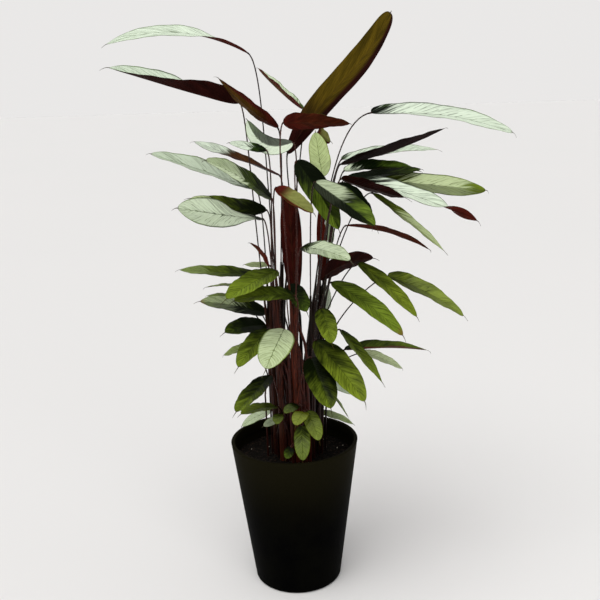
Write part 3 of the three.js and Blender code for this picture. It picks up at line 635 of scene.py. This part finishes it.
# %% Blade skin
def blade_skin(row, steps, strips):
    """Rings of a folded blade. Across it v runs from -1 to 1, closer near the midrib. A point is the
    midrib's plus side v half cos(fold) plus normal half (|v| - 1/2) sin(fold), and the faces lie half a
    thickness to each side. The midrib sinks in above and stands out below, and the margins wave."""
    name, _, _, _, width, _, fold, face, *tip_face = row
    width = width * MM
    rng = np.random.default_rng(sum(map(ord, name)))
    t = (1 - np.cos(math.pi * np.arange(steps + 1) / steps)) / 2
    half = np.maximum(width * outline(name, t), np.where(t == 0, BASE_WIDTH, TIP_WIDTH)) / 2
    centre, tangent = midrib(row, t[:, None])
    s = np.array([0.25, 0.5, 0.75, 1])[:, None]
    droop = np.array([rng.uniform(-0.4, 0.4), 0, -0.5]) * s**2
    centre = np.concatenate([centre, centre[-1] + (tangent[-1] * s + droop) * 1.3 * DRIP_TIP * width])
    tangent = np.concatenate([tangent, np.repeat(tangent[-1:], 4, 0)])
    t = np.concatenate([t, np.ones(4)])
    half = np.concatenate([half, DRIP_HALVES])
    turn = smoothstep(t, *TWISTS.get(name, (0, 1)))[:, None]
    normal = np.array(face) * (1 - turn) + np.array(tip_face[0] if tip_face else face) * turn
    normal = unit(normal - (normal * tangent).sum(1, keepdims=True) * tangent)
    side = np.cross(tangent, normal)

    u = np.linspace(-1, 1, strips + 1)
    v = (np.sign(u) * np.abs(u) ** 1.5)[None]
    angle = (math.radians(fold) * np.minimum(1, half / FOLD_FROM))[:, None]
    across = half[:, None] * v
    size = np.minimum(half / (20 * MM), 1)[:, None]
    ripple = np.sin(math.tau * (t[:, None] * 2.6 + 0.23 * np.sign(v) + rng.uniform())) * v**2 * size
    fine = np.sin(math.tau * (t[:, None] * 7.3 + 0.31 * np.sign(v) + rng.uniform())) * v**4 * size
    rise = half[:, None] * (np.sqrt(v**2 + 0.004) - 0.5) * np.sin(angle) + WAVE * ripple + FINE_WAVE * fine
    rib = np.exp(-((across / RIB_WIDTH) ** 2)) * size * (1 - 0.7 * t[:, None])
    thick = BLADE_THICKNESS / 2 * (1 - 0.4 * v**4)
    upper, lower = rise + thick - RIB_SINKS * rib, rise - thick - RIB_STANDS * rib
    flat = centre[:, None] + side[:, None] * (across * np.cos(angle))[..., None]
    above, below = (flat + normal[:, None] * level[..., None] for level in (upper, lower))
    flipped = (1 - smoothstep(t, *TURNED.get(name, (-2, -1))))[:, None] + 0 * v
    leaf = [t[:, None] + 0 * v, 0 * t[:, None] + v]
    above = np.concatenate([above, np.stack([*leaf, flipped], -1)], -1)
    below = np.concatenate([below, np.stack([*leaf, 1 - flipped], -1)], -1)
    points, faces = skin(np.concatenate([above, below[:, ::-1]], 1))
    silver, start, olive, shade, back, wine = LOOKS[name]
    red_edge = 1 if name == "heart_4" else -1  # the half whose margin stays wine red below
    carried = {
        "leaf": points[:, 3:],
        # the half painted lighter and how much, as painted light, then the half with the red edge
        "lean": (LEANING.get(name, 0), red_edge, 0),
        "silver": (silver, start, SILVER_ENDS.get(name, PAST_TIP)),
        "green": (olive, shade, rng.uniform()),
        "back": (back, wine, DRIED_TIPS.get(name, 0)),
    }
    return points[:, :3], faces, carried


# %% [markdown]
# ## The finish of a blade
# The upper face of this plant is grey-green satin: silver lies over most of it, and dark green runs along
# the midrib, feathers out along the side veins and lines the margin. Older leaves turn olive. The underside
# is wine red. The green is also painted darker towards the base and on blades deep in the plant, as painted
# shade, and one half of some blades is painted lighter than the other. All of it is arithmetic on the
# blade's own coordinates, because the pattern follows the veins and not the world: a vein leaves the midrib
# and sweeps towards the tip, so "along minus a share of across" is constant on it.

# %% Blade finish
blade_finish = Finish("blade", Specular_IOR_Level=0.03, Coat_Roughness=0.24)
blend, dim, noise, vector = blade_finish.blend, blade_finish.dim, blade_finish.noise, blade_finish.vector
along, across, under = blade_finish.carried("leaf")
silver, start, stop = blade_finish.carried("silver")
olive, shade, seed = blade_finish.carried("green")
back, wine, brown = blade_finish.carried("back")
lean, edge, _ = blade_finish.carried("lean")
wide = abs(across)
vein = along - wide * 0.2
half_seed = across.sign() * 3.7 + seed * 31
# Painted light and shade: on blades in LEANING, one half is painted lighter and the other darker.
half = ((across * lean).rise(-0.08, 0.08) * 2 - 1) * abs(lean)

# Noise drawn out along the veins, the pleats between them, and how dark the green is. That darkness is partly
# the blade's own tone and partly painted shade, which grows towards the base and on the half in less light.
streaks = noise(vector(vein * 26, half_seed, wide * 0.6), detail=3, roughness=0.6)
dashes = noise(vector(vein * 17, half_seed + 9, wide * 3), detail=1)
mottle = noise(vector(vein * 9, across * 1.4, seed * 17), detail=3)
pleats = (vein * 19 + mottle * 1.4 + seed).wave()
fine_veins = pleats**10 * (dashes.rise(0.38, 0.6) * 0.85 + 0.15)
dark_tone_and_shade = (shade - half * 0.2 + (0.42 - along) * 0.8 + (mottle - 0.5) * 0.9).rise(0.0, 1.0)

# The silver, from its start to its end, but thin on the midrib, the veins and the margin. It is painted
# stronger on the half in more light and weaker on the other, as painted light.
bloom = (along + (streaks - 0.5) * 0.6 - wide * 0.06).rise(start - 0.04, start + 0.1)
bloom = bloom * (1 - (along + (streaks - 0.5) * 0.5).rise(stop - 0.05, stop + 0.08))
feather = dashes.rise(0.52, 0.7) * 0.12 + 0.02
spine = wide.rise(feather * 0.4, feather)
rim = (wide + (streaks - 0.5) * 0.1).rise(0.88, 0.975)
frost = bloom * silver * (1 - rim * 0.9) * (spine * 0.6 + 0.4) * (half + 1)
frost = frost * (1 - fine_veins * (1 - wide * 0.4) * 0.85) * (streaks.rise(0.34, 0.56) * 0.32 + 0.68)

# The upper face. Its green darkens with the darkness above, which is partly painted shade, and on some
# blades one half is painted lighter than the other.
fresh = blend(dark_tone_and_shade, seen(88, 124, 40), seen(7, 15, 4))
yellow = blend(dark_tone_and_shade, seen(131, 143, 36), seen(17, 25, 2))
green = blend(olive, fresh, yellow)
green = dim(green, (1 - fine_veins * 0.75) * (streaks.rise(0.3, 0.7) * 0.5 + 0.72) * (half * 0.2 + 1))
pale = blend(olive, seen(224, 238, 218), seen(186, 204, 118))
upper = blend(frost, green, pale)
upper = dim(upper, pleats * 0.1 + 0.92)
upper = blend((1 - wide.rise(0.0, 0.03)) * 0.7, upper, seen(28, 40, 12))

# The underside. Its wine red runs from near black to red by the blade's wine number, and the darkest is
# partly painted shade.
dark_wine = blend(wine, seen(9, 4, 4), seen(108, 36, 24))
dark_wine = dim(dark_wine, mottle.rise(0.3, 0.7) * 0.5 + 0.75)
moss = blend(mottle.rise(0.3, 0.7), seen(66, 54, 6), seen(84, 68, 12))
moss = blend(olive.rise(0.4, 0.8), moss, seen(128, 132, 72))
ribs = ((along - wide * 0.5) * 13 + seed).wave()
lower = blend(back * along.rise(0.12, 0.42) * (1 - (across * edge).rise(0.3, 0.7)), dark_wine, moss)
lower = dim(lower, ribs * 0.22 + mottle.rise(0.3, 0.7) * 0.3 + 0.74)
lower = blend((1 - wide.rise(0.0, 0.05)) * 0.3, lower, seen(70, 50, 24))

# Both faces, with dried and dark tips.
leaf_colour = blend(under, upper, lower)
dry = (along + mottle * 0.2).rise(1.12 - brown * 0.16, 1.16 - brown * 0.1) * brown
leaf_colour = blend(dry, leaf_colour, seen(118, 76, 40))
leaf_colour = blend(along.rise(0.985, 1.0) * 0.85, leaf_colour, seen(52, 34, 20))
satin = frost * 0.1 + pleats * 0.05 + 0.4 + under * 0.14
blade_finish.put(blade_finish.shader.inputs["Coat Weight"], (1 - under) * (frost * 0.1 + 0.035))
blade_finish.shade(leaf_colour, satin, pleats + mottle * 0.5, distance=0.0004, strength=0.7)
print("blade finish of", len(blade_finish.tree.nodes), "nodes")

# %% Blades as pieces
for row in BLADES:
    points, faces, carried = blade_skin(row, 48, 16)
    batch = Batch()
    batch.add(points, faces, **carried)
    batch.piece(f"blade_{row[0]}", "blade", [blade_finish.material], [f"leaf_{row[0]}"], sharp=60)
print(len(BLADES), "blades of", len(points), "points")

# %% [markdown]
# ## Shoots
# What looks like a stem on this plant is a roll of leaf sheaths. Each leaf's stalk widens at its foot into a
# sheath that clasps the shoot, wine red with green streaks, and then runs free as a thin dark stalk. Just
# under the blade it thickens again into a joint that turns the leaf to the light. Fine pale bristles stand
# on it, which give the species its name. Curves with a bevel can't widen into a sheath, so all of it is
# rings again.

# %% Canes and stalk curves
SHOOTS = {
    "left": ((-32, 2), (-36, 2, 470)), "front_left": ((-20, -26), (-22, -34, 480)),
    "front": ((6, -34), (6, -43, 472)), "front_right": ((28, -18), (36, -26, 450)),
    "right": ((38, 8), (52, 6, 480)), "back_right": ((22, 32), (36, 42, 470)),
    "back": ((-14, 30), (-18, 36, 500)), "middle": ((3, 2), (4, 0, 545)),
}
CANE_FOOT, CANE_FOOT_RADIUS, CANE_TOP_RADIUS = 185 * MM, 7 * MM, 4.5 * MM
STALK_LEAD, STALK_SPREAD = 18 * MM, 0.12


def cane_at(shoot, z):
    """The cane's middle and radius at heights: both run straight from its foot to its top."""
    foot, top = SHOOTS[shoot]
    foot, top = np.array([*foot, CANE_FOOT / MM]) * MM, np.array(top) * MM
    share = (np.asarray(z)[..., None] - CANE_FOOT) / (top[2] - CANE_FOOT)
    return foot + (top - foot) * share, (CANE_FOOT_RADIUS + (CANE_TOP_RADIUS - CANE_FOOT_RADIUS) * share)[..., 0]


def stalk_curve(row, reach, steps):
    """Points, slopes and length of a stalk, a cubic Bezier curve: it leaves the cane upwards and meets the
    blade in the blade's own direction."""
    name, shoot = row[:2]
    first, direction = (value[0] for value in midrib(row, np.zeros((1, 1))))
    end = first + direction * reach
    height = min(SOIL_TOP + (end[2] - SOIL_TOP) * 0.45, SHOOTS[shoot][1][2] * MM - 12 * MM)
    root = cane_at(shoot, height)[0]
    distance = np.linalg.norm(end - root)
    rise = unit(np.array([0, 0, 1]) + STALK_SPREAD * unit((end - root) * [1, 1, 0]))
    lead = min(CROOKS[name] * MM if name in CROOKS else STALK_LEAD, 0.4 * distance)
    a, b, c, d = root, root + rise * 0.5 * distance, end - direction * lead, end
    t = np.linspace(0, 1, steps)[:, None]
    curve = (1 - t) ** 3 * a + 3 * (1 - t) ** 2 * t * b + 3 * (1 - t) * t**2 * c + t**3 * d
    slope = unit((1 - t) ** 2 * (b - a) + 2 * (1 - t) * t * (c - b) + t**2 * (d - c))
    return curve, slope, distance


# %% Tubes and bristles
LEANS = unit(np.array([[1, 0, 0], [0, 1, 0], [1, 1, 0], [1, -1, 0], [1, 0, 1], [0, 1, 1], [1, 0, -1], [0, 1, -1.0]]))


def frame_along(slope):
    """Two directions square to each slope. The first is square to one fixed direction too, the one of a few
    that the curve runs along least, so that the rings never twist."""
    lean = LEANS[np.abs(slope @ LEANS.T).max(0).argmin()]
    level = unit(np.cross(slope, lean))
    return level, np.cross(slope, level)


def tube(curve, slope, radius, around):
    """Rings of radius r round a curve: the point plus r (cos a level + sin a across)."""
    level, across = frame_along(slope)
    angle = np.linspace(0, math.tau, around, endpoint=False)[None, :, None]
    ring = np.cos(angle) * level[:, None] + np.sin(angle) * across[:, None]
    return curve[:, None] + radius[:, None, None] * ring


def bristles(curve, slope, radius, count, rng, length):
    """Hairs on a tube, each with four faces: three corners on its surface, and a tip out and a little
    forwards."""
    place = rng.uniform(0.02, 0.97, count) * (len(curve) - 1)
    low = place.astype(int)
    share = (place - low)[:, None]
    middle = curve[low] * (1 - share) + curve[low + 1] * share
    level, across = (direction[low] for direction in frame_along(slope))
    angle = rng.uniform(0, math.tau, (count, 1))
    out = np.cos(angle) * level + np.sin(angle) * across
    over = np.cross(slope[low], out)
    root = middle + out * (radius[low] * 0.85)[:, None]
    size = length * rng.uniform(0.5, 1.2, (count, 1))
    tip = root + size * unit(out + slope[low] * rng.uniform(0.2, 0.9, (count, 1)))
    thick = 0.15 * MM
    corners = np.stack([root + over * thick, root - over * thick, root + slope[low] * thick * 2, tip], 1)
    faces = np.array([[0, 3, 1], [1, 3, 2], [2, 3, 0], [0, 1, 2]])[None] + 4 * np.arange(count)[:, None, None]
    return corners.reshape(-1, 3), [faces.reshape(-1, 3)]


# %% Sheaths
SHEATH_LIFT, SHEATH_TOP, SHEATH_WALL, SHEATH_LEAST = 0.7 * MM, 1.7 * MM, 0.6 * MM, 0.3 * MM


def sheath_skin(row, reach):
    """A sheath round the cane that narrows to the stalk. Up its length its opening closes from nearly the
    whole round to half, its radius shrinks from the cane's to the stalk's, and its middle leaves the
    cane."""
    curve, _, distance = stalk_curve(row, reach, 40)
    climb = np.linspace(0, min(0.35, 90 * MM / distance), 12) * 39
    path = np.stack([np.interp(climb, np.arange(40), curve[:, k]) for k in range(3)], 1)
    drop = min(120 * MM, curve[0, 2] - SOIL_TOP + 6 * MM)
    below, cane_radius = cane_at(row[1], curve[0, 2] - np.linspace(drop, 8 * MM, 10))
    middle = np.concatenate([below, path])
    s = np.linspace(0, 1, len(middle))[:, None]
    root_radius = cane_radius[-1] + SHEATH_LIFT
    shrink = smoothstep(np.linspace(0, 1, 12), 0, 1)
    radius = np.concatenate([cane_radius + SHEATH_LIFT, root_radius + (SHEATH_TOP - root_radius) * shrink])[:, None]
    facing = math.atan2(*(curve[12] - curve[0])[1::-1])
    w = np.linspace(-1, 1, 15)[None]
    angle = facing + math.pi * (0.93 - 0.5 * smoothstep(s, 0.3, 1.0)) * w
    flare = radius * (1 + 0.15 * np.abs(w) ** 3 * smoothstep(s, 0.3, 0.8))
    flat = np.stack([np.cos(angle), np.sin(angle), 0 * angle], -1)
    carried = np.stack([s + 0 * w, w + 0 * s, 0 * angle], -1)
    outer = np.concatenate([middle[:, None] + flat * flare[..., None], carried], -1)
    inner = np.maximum(flare - SHEATH_WALL, SHEATH_LEAST)
    inner = np.concatenate([middle[:, None] + flat * inner[..., None], carried], -1)
    points, faces = skin(np.concatenate([outer, inner[:, ::-1]], 1))
    return points[:, :3], faces, points[:, 3:]


# %% Finishes of the shoots
stalk_finish = Finish("stalk", Specular_IOR_Level=0.15)
fleck = stalk_finish.noise(stalk_finish.place(), scale=160, detail=3)
redness, _, _ = stalk_finish.carried("redness")
# The stalks are near-black purple with some random red, and redder on shoots in the light: the darker ones are
# partly painted shade.
stalk_colour = stalk_finish.blend(redness, seen(16, 9, 8), seen(88, 34, 22))
stalk_colour = stalk_finish.dim(stalk_colour, fleck.rise(0.35, 0.65) * 0.7 + 0.7)
stalk_finish.shade(stalk_colour, fleck * 0.2 + 0.25, fleck, distance=0.0002, strength=0.5)

bristle_finish = Finish("bristle")
fleck = bristle_finish.noise(bristle_finish.place(), scale=80)
bristle_colour = bristle_finish.blend(fleck.rise(0.4, 0.6), seen(110, 92, 78), seen(168, 150, 132))
bristle_finish.shade(bristle_colour, fleck * 0.1 + 0.5)

sheath_finish = Finish("sheath", Specular_IOR_Level=0.12)
_, round_sheath, _ = sheath_finish.carried("sheath")
at = sheath_finish.place()
x, y, z = sheath_finish.parts(at)
grooves = sheath_finish.noise(sheath_finish.vector(x, y, z * 0.02), scale=900, detail=2)
cloud = sheath_finish.noise(at, scale=22, detail=3)
redness, _, _ = sheath_finish.carried("redness")
red = sheath_finish.blend(grooves.rise(0.35, 0.65), seen(44, 16, 10), seen(98, 40, 22))
red = sheath_finish.blend(abs(round_sheath).rise(0.8, 1) * 0.5, red, seen(96, 56, 32))
# Painted shade: shoots out of the light get this dark copy of the sheath's colour in place of the red.
dark = sheath_finish.blend(grooves.rise(0.35, 0.65), seen(10, 6, 5), seen(36, 20, 12))
dark = sheath_finish.blend(cloud.rise(0.5, 0.68) * 0.6, dark, seen(34, 32, 12))
red = sheath_finish.blend(redness, dark, red)
sheath_finish.shade(red, grooves * 0.2 + 0.38, grooves, distance=0.0005, strength=0.8)

# %% Stalks on their way up the cane
STALK_RADIUS, JOINT_SWELLS, REACH = 1.15 * MM, 0.45 * MM, 1.5 * MM
STALK_STEPS, FOOT_STEPS, FOOT_DEPTH, STALK_JOINS = 26, 12, 8 * MM, 50 * MM


def whole_stalk(row, place, off):
    """A stalk with its foot, as one curve. Below the root it runs up beside the cane, from the soil, at its
    own angle round it and its own distance off it, and above it that distance fades over 50 mm. Returns
    points, slopes, the lengths gone past the root, and the length from there to the blade."""
    curve, _, distance = stalk_curve(row, REACH, STALK_STEPS)
    gone = np.linspace(0, distance, STALK_STEPS)
    low = np.linspace(SOIL_TOP - FOOT_DEPTH, curve[0, 2], FOOT_STEPS, endpoint=False)
    feet, radius = cane_at(row[1], low)
    out = np.array([math.cos(place), math.sin(place), 0])
    off = off + 0.2 * MM
    side = (cane_at(row[1], curve[0, 2])[1] + off) * (1 - smoothstep(gone, 0, STALK_JOINS))
    points = np.concatenate([feet + out * (radius + off)[:, None], curve + out * side[:, None]])
    return points, unit(np.gradient(points, axis=0)), np.concatenate([low - curve[0, 2], gone]), distance


# %% Shoots as pieces
# How red the shoots in the light are: the others keep a dark copy of the sheaths' and stalks' colour, as
# painted shade. And in which ones the stalks crowd at the right of their cane, on thicker feet. Those draw
# their place and distance a second time.
REDNESS_IN_LIGHT = {"front": 0.9, "front_left": 0.5, "left": 0.25}
CROWDED = ["front_left", "front", "middle"]
HAIR_SPACING, HAIR_LENGTH = 2.1 * MM, 2 * MM
free = slice(FOOT_STEPS, None)
hairs = 0
for shoot in SHOOTS:
    rng = np.random.default_rng(sum(map(ord, shoot)))
    red = REDNESS_IN_LIGHT.get(shoot, 0.0)
    stalks, young, canes = Batch(), Batch(), Batch()
    middle, radius = cane_at(shoot, np.linspace(CANE_FOOT, SHOOTS[shoot][1][2] * MM, 24))
    slope = np.repeat(unit(middle[-1:] - middle[:1]), 24, 0)
    canes.add(*skin(tube(middle, slope, radius, 20)), sheath=(0, 0, 0), redness=red)
    rows = [row for row in BLADES + YOUNG_BLADES if row[1] == shoot]
    rows.sort(key=lambda row: math.atan2(row[2][1] - SHOOTS[shoot][0][1], row[2][0] - SHOOTS[shoot][0][0]))
    for order, row in enumerate(rows):
        place = math.tau * (order + rng.uniform(-0.3, 0.3)) / len(rows) - 2.6
        off = rng.uniform(0, 1) ** 1.5 * 15 * MM
        if shoot in CROWDED:
            place, off = rng.uniform(-0.8, 0.6), (order + rng.uniform(0, 1)) / len(rows) * 19 * MM
        curve, slope, gone, distance = whole_stalk(row, place, off)
        joint = smoothstep(gone, distance - 20 * MM, distance - 12 * MM)
        foot = (1.8 if shoot in CROWDED else 0.5) * MM
        radius = STALK_RADIUS + JOINT_SWELLS * joint + foot * (1 - smoothstep(gone, -40 * MM, 110 * MM))
        stalks.add(*skin(tube(curve, slope, radius, 8)), redness=rng.uniform(0.0, 0.2) + 0.3 * red)
        count = int(distance / HAIR_SPACING)
        hairy = bristles(curve[free], slope[free], radius[free], count, rng, HAIR_LENGTH)
        stalks.add(*hairy, finish=1, redness=0)
        hairs += count
        points, faces, carried = sheath_skin(row, REACH)
        canes.add(points, faces, sheath=carried, redness=red)
        if row in YOUNG_BLADES:
            points, faces, carried = blade_skin(row, 30, 12)
            young.add(points, faces, **carried)
    stalks.piece(f"stalks_{shoot}", "stalk", [stalk_finish.material, bristle_finish.material], [f"shoot_{shoot}"])
    canes.piece(f"sheaths_{shoot}", "stalk", [sheath_finish.material], [f"shoot_{shoot}"])
    if young.total:
        young.piece(f"young_blades_{shoot}", "blade", [blade_finish.material], [f"shoot_{shoot}"], sharp=60)
print("eight shoots with", hairs, "bristles")

# %% [markdown]
# ## Floor and light
# A plain pale floor that runs to the horizon, and a sky of the same brightness there, keep the eye on the
# plant. The photo was taken under bright, soft ceiling light. A lamp near the plant would leave a pool of
# light on the floor, so the light comes from a very soft sun instead, and the sky is dimmer overhead to keep
# the shadows.

# %% Floor
floor_finish = Finish("floor", Specular_IOR_Level=0.1)
grain = floor_finish.noise(floor_finish.place(), scale=0.4, detail=1)
floor_colour = floor_finish.blend(grain, seen(233, 233, 233), seen(235, 234, 234))
floor_finish.shade(floor_colour, grain * 0.1 + 0.7)
floor_mesh = bpy.data.meshes.new("floor")
FLOOR_REACH = 90
corners = [(x * FLOOR_REACH, y * FLOOR_REACH, 0) for x, y in ((-1, -1), (1, -1), (1, 1), (-1, 1))]
floor_mesh.from_pydata(corners, [], [(0, 1, 2, 3)])
floor_mesh.materials.append(floor_finish.material)
floor = bpy.data.objects.new("floor", floor_mesh)
bpy.context.scene.collection.objects.link(floor)

# %% Light
HORIZON, ZENITH = 0.82, 0.5
world = bpy.data.worlds.new("pale_sky")
world.use_nodes = True
nodes, links = world.node_tree.nodes, world.node_tree.links
direction = nodes.new("ShaderNodeTexCoord")
parts = nodes.new("ShaderNodeSeparateXYZ")
fade = nodes.new("ShaderNodeMapRange")
fade.interpolation_type = "SMOOTHSTEP"
for place, value in ((1, 0.12), (2, 0.5), (3, HORIZON), (4, ZENITH)):
    fade.inputs[place].default_value = value
links.new(direction.outputs["Generated"], parts.inputs[0])
links.new(parts.outputs["Z"], fade.inputs[0])
links.new(fade.outputs[0], nodes["Background"].inputs["Strength"])
nodes["Background"].inputs["Color"].default_value = (1.0, 0.985, 0.975, 1)
bpy.context.scene.world = world


def aimed(name, light, place, target):
    """A light at a place that faces a target, with its Z axis pointing away from it."""
    made = bpy.data.objects.new(name, light)
    away = unit(np.array(place, float) - np.array(target, float))
    right = unit(np.cross([0, 1e-3, 1], away))
    axes = np.stack([right, np.cross(away, right), away], 1)
    made.matrix_world = Matrix.Translation(place) @ Matrix(axes.tolist()).to_4x4()
    bpy.context.scene.collection.objects.link(made)


ceiling = bpy.data.lights.new("ceiling", "SUN")
ceiling.energy, ceiling.angle, ceiling.color = 1.7, math.radians(50), (1, 0.99, 0.97)
aimed("ceiling", ceiling, (-0.6, -1.1, 3), (0, 0, 0.6))
front = bpy.data.lights.new("front", "AREA")
front.energy, front.size, front.color = 6, 0.9, (1, 0.98, 0.95)
aimed("front", front, (1.2, -2.0, 1.7), (0, 0, 0.6))
bpy.context.scene.view_settings.view_transform = "Standard"
print("floor, sky, ceiling light and front lamp")
